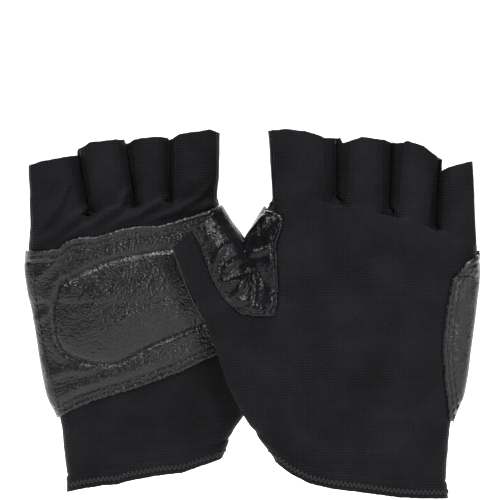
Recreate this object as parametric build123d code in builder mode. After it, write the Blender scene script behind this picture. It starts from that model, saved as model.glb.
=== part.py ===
# A pair of fingerless sailing gloves, standing upright as they sit on two raised hands.
#
# Each glove is a stretch-fabric shell (back panel, palm panel, finger and thumb stalls with gussets between
# the fingers) with leather sewn over it: a padded palm patch that wraps round the little-finger edge, and a
# patch in the crotch of the thumb. Glove "a" stands at the rear and shows its palm, glove "b" stands in front
# and shows its back. Both are for the right hand.
#
# Frame: +X to the right, +Y to the rear, +Z along the fingers, millimetres. The origin is the middle of the
# hand opening at the cuff of glove a.
#
# The pattern is drawn flat in (u, v): u runs across the hand from the little-finger edge towards the thumb,
# and v is the height along the fingers. A Glove places the pattern in the row frame.

from build123d import *

import os
from dataclasses import dataclass

os.makedirs("parts", exist_ok=True)

# ---- driving dimensions ------------------------------------------------------------------------------------
DEPTH = 22.0  # outside depth of a glove, back of the hand to palm
FABRIC = 1.2  # stretch fabric
LEATHER = 1.2
PAD = 3.0  # foam pad under the palm leather
EDGE_RADIUS = 8.0  # rounding of a glove's side edges, at the outside of the fabric
SPACING = 30.0  # between the middle planes of the two gloves
RUN_GAP = 0.4  # clearance between pieces that move against each other
FINGER_GAP = 0.6  # clearance between neighbouring finger stalls
HEM_DEPTH = 9.0  # folded-in allowance at the cuff
GUSSET_WIDTH = 10.0  # of the strip along the side of a finger
SPARE = 15.0  # how far a form runs past an open end before it is trimmed
BIG = 300.0  # past everything

THUMB_PIVOT = (116.2, 97.0)  # where the thumb stall swings, in the pattern
THUMB_RADIUS = 15.0

STITCH_LENGTH, STITCH_WIDTH, STITCH_HEIGHT = 2.2, 0.5, 0.4
STITCH_PITCH = 3.0
ZIGZAG_ANGLE = 60.0  # of the cuff stitches, away from the hem
ZIGZAG_INSET = 3.5  # from the cuff's edge to the middle of the zigzag
ROW_INSET = 2.4  # from the edge of the leather to the first row of stitches
ROW_SPACING = 2.2

# ---- the pattern, (u, v) -----------------------------------------------------------------------------------
# Outline of the hand and thumb, past the open ends, with the corner radius at each point.
HAND_OUTLINE = [
    ((87.0, -24.0), 10.0),
    ((89.0, 9.0), 12.0),
    ((100.8, 30.6), 30.0),
    ((118.8, 71.6), 40.0),
    ((132.0, 96.8), 20.0),
    ((140.0, 115.6), 10.0),
    ((119.0, 134.0), 10.0),
    ((103.5, 103.5), 3.0),  # the crotch of the thumb
    ((90.3, 127.0), 9.0),
    ((90.3, 148.0), 10.0),
    ((0.5, 148.0), 10.0),
    ((0.5, 117.0), 12.0),
    ((-1.9, 95.0), 40.0),
    ((3.6, 44.0), 20.0),
    ((11.8, 22.0), 12.0),
    ((12.4, -24.0), 10.0),
]
CUFF_LINE = [(10.5, -7.7), (32.9, -6.3), (64.4, -2.6), (82.4, 3.6), (90.5, 10.5)]
THUMB_CROTCH = (103.5, 103.5)
THUMB_INNER = (107.4, 109.2)  # where the stall's inner side leaves the round seat, with room to swing inwards
THUMB_HEM = [(135.5, 103.6), (113.0, 123.2)]
PALM_LEATHER_TOP = [(-3.0, 102.6), (16.6, 104.3), (22.0, 108.9), (33.6, 109.6), (48.2, 113.9), (94.0, 122.0)]
PALM_LEATHER_BOTTOM = [(8.0, 25.8), (22.2, 31.4), (44.2, 38.3), (89.8, 55.4), (125.0, 66.0)]
# Outline of the pad, with the corner radius at each point.
PALM_PAD = [
    ((9.5, 94.0), 17.0),
    ((13.0, 53.0), 16.0),
    ((46.0, 50.5), 20.0),
    ((100.0, 76.0), 12.0),
    ((96.0, 103.0), 12.0),
    ((66.0, 105.8), 20.0),
    ((30.0, 96.5), 20.0),
]
EDGE_LEATHER = [(0.0, 100.5), (7.2, 93.6), (12.6, 80.6), (14.0, 62.0), (13.1, 43.7), (11.4, 26.8)]
WEB_LEATHER = [
    (132.0, 118.0),
    (120.5, 103.3),
    (115.0, 89.1),
    (109.0, 76.5),
    (102.2, 73.7),
    (89.3, 77.6),
    (88.0, 105.0),
    (84.7, 114.5),
    (87.0, 119.0),
    (98.0, 124.5),
    (118.0, 128.0),
]
WEB_STITCH_LINE = [(103.0, 76.4), (91.5, 79.4), (90.2, 104.5)]


@dataclass
class Finger:
    """One finger stall: its two sides, the crease it bends at and the two ends of its cut hem."""

    name: str
    u_near: float  # side towards the little-finger edge
    u_far: float  # side towards the thumb
    pivot: float
    hem_near: float
    hem_far: float

    @property
    def inner_near(self):
        """Whether another finger lies beside it towards the little-finger edge."""
        return self.name != "little"

    @property
    def inner_far(self):
        return self.name != "index"

    def walls(self):
        """The stall's two sides, drawn in by half the gap where a neighbour is."""
        near = self.u_near + FINGER_GAP / 2 if self.inner_near else self.u_near
        far = self.u_far - FINGER_GAP / 2 if self.inner_far else self.u_far
        return near, far


@dataclass
class Glove:
    prefix: str
    y_mid: float  # middle plane of the glove
    palm: int  # +1 if the palm faces the rear, -1 if it faces the front
    u_sign: int  # which way u runs along X
    u_scale: float
    x_edge: float  # X of the little-finger edge at height EDGE_HEIGHT
    lean: float  # how far that edge moves along X for each millimetre down
    fingers: list

    def at(self, point):
        """A pattern point in the row frame's X and Z."""
        u, v = point
        return (self.x_edge + self.lean * (EDGE_HEIGHT - v) + self.u_sign * self.u_scale * u, v)


EDGE_HEIGHT = 103.0
GLOVES = [
    Glove(
        "a", 0.0, -1, 1, 0.955, -52.2, 0.05,
        [
            Finger("little", 0.9, 26.6, 113.0, 142.7, 146.3),
            Finger("ring", 26.6, 46.9, 121.0, 149.4, 153.5),
            Finger("middle", 46.9, 67.7, 125.0, 152.6, 154.4),
            Finger("index", 67.7, 92.3, 127.0, 154.4, 158.0),
        ],
    ),
    Glove(
        "b", -SPACING, 1, -1, 1.0, 149.0, 0.0,
        [
            Finger("little", 0.5, 16.2, 108.0, 142.7, 138.2),
            Finger("ring", 16.2, 39.2, 116.0, 144.9, 151.7),
            Finger("middle", 39.2, 64.2, 122.0, 152.6, 153.5),
            Finger("index", 64.2, 92.0, 124.7, 153.9, 156.6),
        ],
    ),
]  # fmt: skip


# ---- forms and cutters -------------------------------------------------------------------------------------
def front_plane(y):
    """The plane of the pattern at depth y: its x is the row's X and its y is the row's Z."""
    return Plane.XZ.offset(-y)


def hand_form(glove, grow):
    """The pillow shape inside the outline of the hand, grown by grow, with its side edges rounded."""
    points = [glove.at(point) for point, _ in HAND_OUTLINE]
    with BuildPart() as form:
        with BuildSketch(front_plane(glove.y_mid)):
            with BuildLine():
                FilletPolyline(*points, radius=[radius for _, radius in HAND_OUTLINE], close=True)
            make_face()
            if grow:
                offset(amount=grow)
        extrude(amount=DEPTH / 2 + grow, both=True)
        rims = form.edges().group_by(Axis.Y)
        fillet(rims[0] + rims[-1], radius=EDGE_RADIUS + grow)
    return form.part


def finger_form(glove, finger, grow):
    """A tube of rounded section round one finger, running past its crease and its hem."""
    near, far = finger.walls()
    low, high = finger.pivot - SPARE, max(finger.hem_near, finger.hem_far) + SPARE
    corners = [glove.at(p) for p in [(near, low), (far, low), (far, high), (near, high)]]
    radius = min(EDGE_RADIUS, 0.45 * (far - near))
    with BuildPart() as form:
        with BuildSketch(front_plane(glove.y_mid)):
            with BuildLine():
                Polyline(*corners, close=True)
            make_face()
            if grow:
                offset(amount=grow, kind=Kind.INTERSECTION)
        extrude(amount=DEPTH / 2 + grow, both=True)
        rims = form.edges().group_by(Axis.Y)
        long_edges = (rims[0] + rims[-1]).filter_by(lambda edge: abs(edge.tangent_at(0.5).Z) > 0.7)
        fillet(long_edges, radius=radius + grow)
    return form.part


def prism(glove, points, y_from=-BIG, y_to=BIG):
    """A straight block through the glove inside a closed pattern outline, between two depths."""
    with BuildPart() as block:
        with BuildSketch(front_plane(y_from)):
            with BuildLine():
                Polyline(*[glove.at(p) for p in points], close=True)
            make_face()
        extrude(amount=y_to - y_from, dir=(0, 1, 0))
    return block.part


def half(glove, side):
    """Everything on one side of a glove's middle plane: side is +1 for the palm and -1 for the back."""
    low, high = sorted((glove.y_mid, glove.y_mid + side * glove.palm * BIG))
    return prism(glove, [(-BIG, -BIG), (BIG, -BIG), (BIG, BIG), (-BIG, BIG)], low, high)


def below_cuff(glove, rise=0.0):
    """What lies below the cuff line, or below a line rise above it."""
    line = [(u, v + rise) for u, v in CUFF_LINE]
    ends = [(160.0, line[-1][1] + 6), (160.0, -80.0), (-40.0, -80.0), (-40.0, line[0][1])]
    return prism(glove, line + ends)


def thumb_zone(glove, radius, inner=THUMB_CROTCH):
    """The round seat that the thumb swings in, and all that lies beyond it on the thumb's side of inner."""
    beyond = [glove.at(p) for p in [inner, THUMB_PIVOT, (160.0, 93.0), (160.0, 165.0), (inner[0], 165.0)]]
    with BuildPart() as zone:
        with BuildSketch(front_plane(-BIG)):
            with Locations(glove.at(THUMB_PIVOT)):
                Circle(radius)
            with BuildLine():
                Polyline(*beyond, close=True)
            make_face()
        extrude(amount=2 * BIG, dir=(0, 1, 0))
    return zone.part


def finger_zone(glove, finger, gap):
    """The column above a finger's crease, widened and lowered by gap. Its base is square to the finger."""
    near = finger.u_near - gap if finger.inner_near else finger.u_near - 40
    far = finger.u_far + gap if finger.inner_far else finger.u_far + 9
    slope = glove.u_sign * glove.u_scale * glove.lean
    middle = (finger.u_near + finger.u_far) / 2
    low_near, low_far = (finger.pivot - gap + slope * (u - middle) for u in (near, far))
    return prism(glove, [(near, low_near), (far, low_far), (far, BIG), (near, BIG)])


def above_hem(glove, finger):
    """What lies above the cut hem of a finger stall."""
    slope = (finger.hem_far - finger.hem_near) / (finger.u_far - finger.u_near)
    near, far = finger.u_near - SPARE, finger.u_far + SPARE
    low_near, low_far = (finger.hem_near + slope * (u - finger.u_near) for u in (near, far))
    return prism(glove, [(near, low_near), (far, low_far), (far, BIG), (near, BIG)])


def above_thumb_hem(glove):
    """What lies past the slanted hem of the thumb stall."""
    (u0, v0), (u1, v1) = THUMB_HEM
    outer, inner = (2 * u0 - u1, 2 * v0 - v1), (1.35 * u1 - 0.35 * u0, 1.35 * v1 - 0.35 * v0)
    return prism(glove, [outer, inner, (inner[0] + 30, inner[1] + 40), (outer[0] + 30, outer[1] + 40)])


def pad_block(glove, grow, thickness):
    """The pad's outline, grown by grow, standing off the palm fabric."""
    with BuildPart() as block:
        with BuildSketch(front_plane(glove.y_mid + glove.palm * DEPTH / 2)):
            with BuildLine():
                FilletPolyline(*[glove.at(p) for p, _ in PALM_PAD], radius=[r for _, r in PALM_PAD], close=True)
            make_face()
            if grow:
                offset(amount=grow)
        extrude(amount=thickness, dir=(0, glove.palm, 0))
    return block.part


def combine(first, keep=(), cut=()):
    """A shape kept inside every shape of keep and cut by every shape of cut."""
    with BuildPart() as result:
        add(first)
        for tool in keep:
            add(tool, mode=Mode.INTERSECT)
        for tool in cut:
            add(tool, mode=Mode.SUBTRACT)
    return result.part


def join(*shapes):
    with BuildPart() as result:
        for shape in shapes:
            add(shape)
    return result.part


def stitch_row(glove, points, depth, start=0.0, angle=0.0):
    """Separate stitches along a line of the pattern, on a flat face at that depth towards the palm.

    With an angle, every other stitch leans the other way, which makes a zigzag.
    """
    with BuildLine(front_plane(0)) as line:
        Polyline(*[glove.at(p) for p in points])
    wire = line.wires()[0]
    y = glove.y_mid + glove.palm * depth
    out = glove.palm if depth > 0 else -glove.palm
    with BuildPart() as row:
        for i in range(int((wire.length - start) / STITCH_PITCH)):
            share = (start + (i + 0.5) * STITCH_PITCH) / wire.length
            place, along = wire.position_at(share), wire.tangent_at(share)
            seat = Plane(origin=(place.X, y, place.Z), x_dir=(along.X, 0, along.Z), z_dir=(0, -1, 0))
            with BuildSketch(seat):
                SlotOverall(STITCH_LENGTH, STITCH_WIDTH, rotation=angle if i % 2 else -angle)
            extrude(amount=STITCH_HEIGHT, dir=(0, out, 0))
    return row.part


def raised(points, rise):
    """A pattern line moved up by rise."""
    return [(u, v + rise) for u, v in points]


# ---- the pieces --------------------------------------------------------------------------------------------
def save(glove, name, shape):
    """Write one finished piece, named after its glove."""
    label = f"{glove.prefix}_{name}"
    with BuildPart() as piece:
        add(shape)
    piece.part.label = label
    export_step(piece.part, f"parts/{label}.step")
    print(f"{label:22s} solids {len(piece.solids()):3d}  volume {piece.part.volume:9.1f}")


def build_fabric(glove, form, cavity, off_hand):
    """The two panels of the hand and the folded hem inside the cuff."""
    shell = combine(form, cut=[cavity] + off_hand)
    save(glove, "back_panel", combine(shell, keep=[half(glove, -1)]))
    save(glove, "palm_panel", combine(shell, keep=[half(glove, 1)]))
    inner = hand_form(glove, -2 * FABRIC)
    save(glove, "cuff_hem", combine(cavity, keep=[below_cuff(glove, HEM_DEPTH)], cut=[inner, below_cuff(glove)]))


def build_leather(glove, layer):
    """The padded palm patch, which wraps round the little-finger edge, and the patch in the thumb's crotch."""
    thumb = thumb_zone(glove, THUMB_RADIUS + RUN_GAP)
    pad = combine(pad_block(glove, 0.0, PAD), cut=[thumb_zone(glove, THUMB_RADIUS + RUN_GAP + LEATHER)])
    save(glove, "palm_pad", pad)
    cover = combine(pad_block(glove, LEATHER, PAD + LEATHER), cut=[thumb])
    wrap = [(-8.0, 20.0), (-8.0, 103.0)]
    patch = prism(glove, PALM_LEATHER_TOP + [(125.0, 95.0)] + PALM_LEATHER_BOTTOM[::-1] + wrap)
    crescent = prism(glove, EDGE_LEATHER + wrap)
    palm_side = combine(layer, keep=[half(glove, 1), patch])
    back_side = combine(layer, keep=[half(glove, -1), crescent])
    save(glove, "palm_leather", combine(join(palm_side, back_side, cover), cut=[pad]))
    save(glove, "web_leather", combine(layer, keep=[half(glove, -1), prism(glove, WEB_LEATHER)]))


def build_stitching(glove):
    """The rows of stitches, each on the flat of the leather or the fabric that it holds."""
    face = DEPTH / 2 + LEATHER
    first, second = ROW_INSET, ROW_INSET + ROW_SPACING
    palm_rows = [stitch_row(glove, raised(PALM_LEATHER_TOP[1:5], -drop), face, 2.0) for drop in (first, second)]
    palm_rows += [stitch_row(glove, raised(PALM_LEATHER_BOTTOM[:4], rise), face, 8.0) for rise in (first, second)]
    save(glove, "palm_stitching", join(*palm_rows))
    save(glove, "web_stitching", stitch_row(glove, WEB_STITCH_LINE, -face))
    zigzag = raised(CUFF_LINE, ZIGZAG_INSET)[1:4]
    rows = [stitch_row(glove, zigzag, side * DEPTH / 2, angle=ZIGZAG_ANGLE) for side in (1, -1)]
    save(glove, "cuff_stitching", join(*rows))


def build_fingers(glove):
    """Four finger stalls, each its own body: back, palm and the gussets along the sides between fingers."""
    for finger in glove.fingers:
        near, far = finger.walls()
        middle = (near + far) / 2
        column = finger_zone(glove, finger, 0.0)
        hem = above_hem(glove, finger)
        stall = combine(finger_form(glove, finger, 0.0), cut=[finger_form(glove, finger, -FABRIC), hem], keep=[column])
        low, high = glove.y_mid - GUSSET_WIDTH / 2, glove.y_mid + GUSSET_WIDTH / 2
        sides = []
        if finger.inner_near:
            sides.append(prism(glove, [(near - 9, 0), (middle, 0), (middle, BIG), (near - 9, BIG)], low, high))
        if finger.inner_far:
            sides.append(prism(glove, [(middle, 0), (far + 9, 0), (far + 9, BIG), (middle, BIG)], low, high))
        gussets = combine(join(*sides), keep=[stall])
        save(glove, f"{finger.name}_gussets", gussets)
        save(glove, f"{finger.name}_back", combine(stall, keep=[half(glove, -1)], cut=[gussets]))
        save(glove, f"{finger.name}_palm", combine(stall, keep=[half(glove, 1)], cut=[gussets]))


def build_thumb(glove, form, cavity, leather_form):
    """The thumb stall, its own body, swinging on a round seat in the side of the hand."""
    zone, hem = thumb_zone(glove, THUMB_RADIUS, THUMB_INNER), above_thumb_hem(glove)
    shell = combine(form, keep=[zone], cut=[cavity, hem])
    save(glove, "thumb_back", combine(shell, keep=[half(glove, -1)]))
    save(glove, "thumb_palm", combine(shell, keep=[half(glove, 1)]))
    layer = combine(leather_form, keep=[zone], cut=[form, hem])
    back_side = combine(layer, keep=[half(glove, -1), prism(glove, WEB_LEATHER)])
    save(glove, "thumb_leather", join(combine(layer, keep=[half(glove, 1)]), back_side))


for glove in GLOVES:
    form, cavity, leather_form = (hand_form(glove, grow) for grow in (0.0, -FABRIC, LEATHER))
    off_hand = [finger_zone(glove, finger, RUN_GAP) for finger in glove.fingers]
    off_hand += [below_cuff(glove), thumb_zone(glove, THUMB_RADIUS + RUN_GAP)]
    build_fabric(glove, form, cavity, off_hand)
    build_leather(glove, combine(leather_form, cut=[form] + off_hand))
    build_stitching(glove)
    build_fingers(glove)
    build_thumb(glove, form, cavity, leather_form)
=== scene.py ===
# %% [markdown]
# # A pair of fingerless sailing gloves
# Each glove is a thin skin of stretch fabric over a hand, with leather sewn on top. We first make the form
# of the hand, take the fabric from it as a skin, cut the skin along its hems and seams, and then lay the
# leather and the stitches on it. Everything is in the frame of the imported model, in metres.

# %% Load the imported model
from math import cos, pi, radians, sin

import bmesh
import bpy
import numpy as np
from mathutils import Matrix, Vector, noise
from mathutils.bvhtree import BVHTree


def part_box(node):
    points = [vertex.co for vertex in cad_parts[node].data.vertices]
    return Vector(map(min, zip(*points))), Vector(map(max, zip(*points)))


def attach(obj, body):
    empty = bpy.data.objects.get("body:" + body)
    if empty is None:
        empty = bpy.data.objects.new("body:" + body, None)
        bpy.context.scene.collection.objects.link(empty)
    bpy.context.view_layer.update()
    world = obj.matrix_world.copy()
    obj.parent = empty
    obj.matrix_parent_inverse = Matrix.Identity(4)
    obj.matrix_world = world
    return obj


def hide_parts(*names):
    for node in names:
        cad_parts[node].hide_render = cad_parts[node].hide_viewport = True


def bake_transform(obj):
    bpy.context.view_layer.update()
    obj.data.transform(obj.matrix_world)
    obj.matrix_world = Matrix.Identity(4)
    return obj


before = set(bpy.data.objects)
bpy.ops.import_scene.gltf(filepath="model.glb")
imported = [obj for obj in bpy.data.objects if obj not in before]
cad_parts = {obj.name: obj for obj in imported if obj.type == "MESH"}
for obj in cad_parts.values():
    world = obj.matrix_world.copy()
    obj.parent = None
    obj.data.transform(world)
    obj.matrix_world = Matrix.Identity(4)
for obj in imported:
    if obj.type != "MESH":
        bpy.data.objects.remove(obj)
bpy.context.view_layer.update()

MM = 0.001

# %% [markdown]
# ## Camera, light and backdrop
# The gloves face the camera at the height of the palms. A long lens from 1.5 metres keeps the sides of the
# hands straight. Black cloth shows its shape only by the light that grazes it, so five weak softboxes stand
# round the gloves. One sheet of paper is floor and wall in one, so no horizon shows behind them.

# %% Camera and light
VIEW_CENTRE = Vector((0.0484, -0.020, 0.1026))
VIEW_DISTANCE = 1.5
VIEW_WIDTH = 0.2265


def add_camera():
    place = VIEW_CENTRE + Vector((0, -VIEW_DISTANCE, 0))
    bpy.ops.object.camera_add(location=place, rotation=(radians(90), 0, 0))
    camera = bpy.context.object
    camera.data.lens = camera.data.sensor_width * VIEW_DISTANCE / VIEW_WIDTH
    bpy.context.scene.camera = camera
    print("lens", round(camera.data.lens), "mm")


def add_softbox(name, place, size, watts):
    """A square light that faces the gloves."""
    bpy.ops.object.light_add(type="AREA", location=place)
    lamp = bpy.context.object
    lamp.name = name
    lamp.data.size = size
    lamp.data.energy = watts
    lamp.rotation_euler = (VIEW_CENTRE - Vector(place)).to_track_quat("-Z", "Y").to_euler()


add_camera()
add_softbox("key_light", (-0.8, -0.9, 1.3), size=0.45, watts=10)
add_softbox("front_light", (0.6, -1.5, 0.5), size=0.35, watts=7)
add_softbox("side_light", (1.3, -0.9, 0.3), size=0.5, watts=2.5)
add_softbox("top_light", (0.05, -0.35, 1.3), size=0.45, watts=11)
add_softbox("back_light", (0.1, 1.3, 0.9), size=0.9, watts=6)

# %% The backdrop: a grid bent up into a wall
FLOOR = -0.035
WALL = 4.2
SWEEP = 0.8
PAPER = 3.2 * WALL
PAPER_ROWS = 84
SKY_LIGHT = 0.045


def add_backdrop():
    """A sheet of paper that lies in front of the gloves and curves up to a wall far behind them."""
    bpy.ops.mesh.primitive_grid_add(x_subdivisions=2, y_subdivisions=PAPER_ROWS, size=PAPER,
                                    location=(0, PAPER / 2 - WALL, FLOOR))
    bpy.ops.object.transform_apply()
    sweep = bpy.context.object
    sweep.name = "backdrop"
    bend = WALL - SWEEP
    for vertex in sweep.data.vertices:
        past = vertex.co.y - bend
        if past > 0:
            turn = min(past / SWEEP, pi / 2)
            rest = max(past - SWEEP * pi / 2, 0)
            vertex.co.y = bend + SWEEP * sin(turn)
            vertex.co.z = FLOOR + SWEEP * (1 - cos(turn)) + rest
    bpy.ops.object.shade_smooth()
    return sweep


backdrop = add_backdrop()
bpy.context.scene.view_settings.view_transform = "Standard"
world = bpy.data.worlds.new("studio")
bpy.context.scene.world = world
world.use_nodes = True
sky = world.node_tree.nodes["Background"].inputs
sky["Color"].default_value = (1, 1, 1, 1)
sky["Strength"].default_value = SKY_LIGHT
print("backdrop:", len(backdrop.data.polygons), "faces")

# %% [markdown]
# ## Shader helpers
# A material is a small sum, so it reads best as one. `Value` wraps a socket, and its operators add Math
# nodes. `Paint.node` adds any other node.


# %% Shader helpers
class Value:
    """A number that varies over the surface: a socket of a material."""

    def __init__(self, paint, socket):
        self.paint, self.socket = paint, socket

    def math(self, operation, *others):
        return self.paint.node("ShaderNodeMath", {"operation": operation}, [self, *others])

    def __add__(self, other):
        return self.math("ADD", other)

    def __mul__(self, other):
        return self.math("MULTIPLY", other)

    def __rsub__(self, other):
        return (self * -1) + other

    def __sub__(self, other):
        return self.math("SUBTRACT", other)

    __radd__ = __add__
    __rmul__ = __mul__


class Paint:
    """One material, made of nodes."""

    def __init__(self, name):
        self.material = bpy.data.materials.new(name)
        self.material.use_nodes = True
        self.tree = self.material.node_tree
        self.shader = self.tree.nodes["Principled BSDF"]

    def node(self, kind, settings=None, inputs=None, output=0):
        """Any node: its settings, then the values or links of its sockets, by place or by name."""
        node = self.tree.nodes.new(kind)
        for key, value in (settings or {}).items():
            if key == "stops":
                for stop, (place, colour) in zip(node.color_ramp.elements, value):
                    stop.position, stop.color = place, (*colour, 1)
            else:
                setattr(node, key, value)
        pairs = inputs.items() if isinstance(inputs, dict) else enumerate(inputs or [])
        for key, value in pairs:
            self.feed(node.inputs[key], value)
        return Value(self, node.outputs[output])

    def feed(self, socket, value):
        if isinstance(value, Value):
            self.tree.links.new(value.socket, socket)
        else:
            socket.default_value = value

    def set(self, **values):
        for name, value in values.items():
            self.feed(self.shader.inputs[name.replace("_", " ").title().replace("Ior", "IOR")], value)

    def place(self, scale=(1, 1, 1)):
        """A position on the piece, in units of 1 / scale metres."""
        at = self.node("ShaderNodeTexCoord", output="Object")
        return self.node("ShaderNodeMapping", {}, {"Vector": at, "Scale": scale})

    def noise(self, size, detail=3.0, at=None):
        """Smooth noise whose lumps are about size metres."""
        inputs = {"Vector": at or self.place(), "Scale": 1 / size, "Detail": detail}
        return self.node("ShaderNodeTexNoise", {}, inputs)

    def waves(self, direction, scale, distortion=0.0):
        """Bands across one direction, about a third of a unit of 1 / scale metres apart."""
        inputs = {"Vector": self.place(), "Scale": scale, "Distortion": distortion, "Detail": 1.0,
                  "Detail Scale": 2.0}
        return self.node("ShaderNodeTexWave", {"bands_direction": direction}, inputs, "Fac")

    def bump(self, height, depth, under=None):
        """Normals that are tilted as if the surface were depth metres higher where height is 1."""
        inputs = {"Height": height, "Distance": depth, "Strength": 1.0}
        if under is not None:
            inputs["Normal"] = under
        return self.node("ShaderNodeBump", {}, inputs)

    def ramp(self, value, stops):
        """Colours that blend between two stops, each a place and a colour."""
        return self.node("ShaderNodeValToRGB", {"stops": stops}, [value])


print("helpers ready: a material is a Paint, and what varies over it is a Value")

# %% [markdown]
# ## Materials
# The fabric is a fine stretch knit: a matte near-black with ribs about a millimetre apart, and hardly any
# highlight, so that its folds show by shade alone. The palm leather is grained and a little worn, so its
# highlights are grey and broken. The crotch leather is smoother and thinner, with a shine on its wrinkles.
# The cut edge of the leather is raw and a little paler, and that paleness also stands in for the highlight
# along the edge: partly a painted highlight. The thread is black and slightly shiny. The paper
# glows white behind the gloves, and is dark in front of them, where it would light them from below.


# %% Materials
def knit():
    """Stretch fabric: ribs across rows of loops, worn a little smoother in patches."""
    paint = Paint("stretch_knit")
    loops = paint.waves("X", scale=300, distortion=1.5) * paint.waves("Z", scale=260, distortion=1.5)
    wear = paint.noise(size=0.018, detail=4.0)
    fuzz = paint.bump(paint.noise(size=0.0012, detail=4.0), depth=0.00025)
    black, worn = (0.0035, 0.0035, 0.0044), (0.0175, 0.0175, 0.0203)
    paint.set(base_color=paint.ramp(wear * 0.6 + loops * 0.5, [(0.2, black), (0.85, worn)]),
              roughness=0.72 - wear * 0.2, sheen_weight=0.03, sheen_roughness=0.4, specular_ior_level=0.1,
              normal=paint.bump(loops, depth=0.0002, under=fuzz))
    return paint.material


def leather(name, grain, gloss, wrinkles, shine):
    """Leather with a pebbled grain, a gloss, and fine wrinkles. Shine is how much light it sends back."""
    paint = Paint(name)
    cells = {"Vector": paint.place(), "Scale": 1000, "Smoothness": 0.5, "Randomness": 1.0}
    pebbles = paint.node("ShaderNodeTexVoronoi", {"feature": "SMOOTH_F1"}, cells, "Distance")
    creases, wear = paint.noise(size=0.0035, detail=6.0), paint.noise(size=0.014, detail=5.0)
    folded = paint.noise(size=0.0022, detail=4.0, at=paint.place((1, 1, 0.3)))
    wrinkled = paint.bump(creases + folded * wrinkles, depth=0.0003)
    black, worn = (0.003, 0.003, 0.0036), (0.011, 0.0115, 0.0135)
    paint.set(base_color=paint.ramp(wear * 0.7 + creases * 0.35, [(0.3, black), (0.75, worn)]),
              roughness=(0.85 - gloss) - wear * 0.25, specular_ior_level=shine,
              normal=paint.bump(pebbles * -1, depth=grain, under=wrinkled))
    return paint.material


def raw_edge_and_painted_highlight():
    """The fibres at the cut edge of the leather, paler than its face. The paleness is also a painted
    highlight along the edge.
    """
    paint = Paint("raw_leather_edge_and_painted_highlight")
    fibres = paint.noise(size=0.0012, detail=5.0)
    # the paler colour is the raw fibres, and also a painted highlight along the cut edge
    dyed, raw = (0.02, 0.021, 0.024), (0.07, 0.073, 0.08)
    paint.set(base_color=paint.ramp(fibres, [(0.25, dyed), (0.75, raw)]), roughness=0.9,
              normal=paint.bump(fibres, depth=0.0003))
    return paint.material


def black_thread():
    """Thread with its strands wound round each other."""
    paint = Paint("black_thread")
    twist = paint.waves("DIAGONAL", scale=900)
    dark, light = (0.006, 0.006, 0.007), (0.022, 0.022, 0.025)
    paint.set(base_color=paint.ramp(twist, [(0.2, dark), (0.8, light)]), roughness=0.5 + twist * 0.1,
              normal=paint.bump(twist, depth=0.00008))
    return paint.material


def foam():
    """Dark grey foam with fine cells."""
    paint = Paint("pad_foam")
    cells = paint.noise(size=0.0009, detail=4.0)
    dark, light = (0.03, 0.03, 0.034), (0.09, 0.09, 0.1)
    paint.set(base_color=paint.ramp(cells, [(0.3, dark), (0.7, light)]), roughness=0.95,
              normal=paint.bump(cells, depth=0.0003))
    return paint.material


DARK_UNTIL, WHITE_FROM = -0.15, 0.25


def studio_paper():
    """White paper that glows more and more from just in front of the gloves to just behind them."""
    paint = Paint("studio_paper")
    grey, white = (0.93, 0.93, 0.935), (0.97, 0.97, 0.975)
    depth = paint.node("ShaderNodeSeparateXYZ", {}, [paint.place()], output=1)
    glow = (depth - DARK_UNTIL) * (1 / (WHITE_FROM - DARK_UNTIL))
    grain = paint.noise(size=0.05, detail=2.0)
    paint.set(base_color=paint.ramp(grain, [(0.0, grey), (1.0, white)]), roughness=0.9,
              emission_color=paint.ramp(glow, [(0.0, (0.06, 0.06, 0.06)), (1.0, (1, 1, 1))]),
              emission_strength=1.0)
    return paint.material


KNIT, EDGE, THREAD, FOAM = knit(), raw_edge_and_painted_highlight(), black_thread(), foam()
LEATHER = leather("palm_leather", grain=0.00026, gloss=0.44, wrinkles=0.4, shine=0.5)
SOFT_LEATHER = leather("crotch_leather", grain=0.00008, gloss=0.6, wrinkles=1.8, shine=0.26)
backdrop.data.materials.append(studio_paper())
print("materials:", [m.name for m in (KNIT, LEATHER, SOFT_LEATHER, EDGE, THREAD, FOAM)])

# %% [markdown]
# ## The shapes of the two gloves
# A loft is a list of rows across the hand. Each row says where its left and right ends are, as x and z in
# millimetres, so the rows can slant. Fingers add how far the far side of the finger (away from the viewer)
# spreads past the near side. Both gloves are for a right hand. Glove a shows its palm and glove b its back.


# %% The two gloves
class Glove:
    """One glove's shape, in millimetres: lofts, hems and the outlines of the leather.

    Palm is -1 if the palm faces the viewer, or +1 if the back does. Mid is its middle plane, in y."""

    def __init__(self, prefix, palm, **shape):
        self.prefix, self.palm = prefix, palm
        near, far = ("palm", "back") if palm < 0 else ("back", "palm")
        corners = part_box(f"{prefix}_index_{near}")[0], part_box(f"{prefix}_index_{far}")[1]
        low, high = (Vector(corner) / MM for corner in corners)
        self.mid = (low.y + high.y) / 2
        self.__dict__.update(shape)


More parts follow.
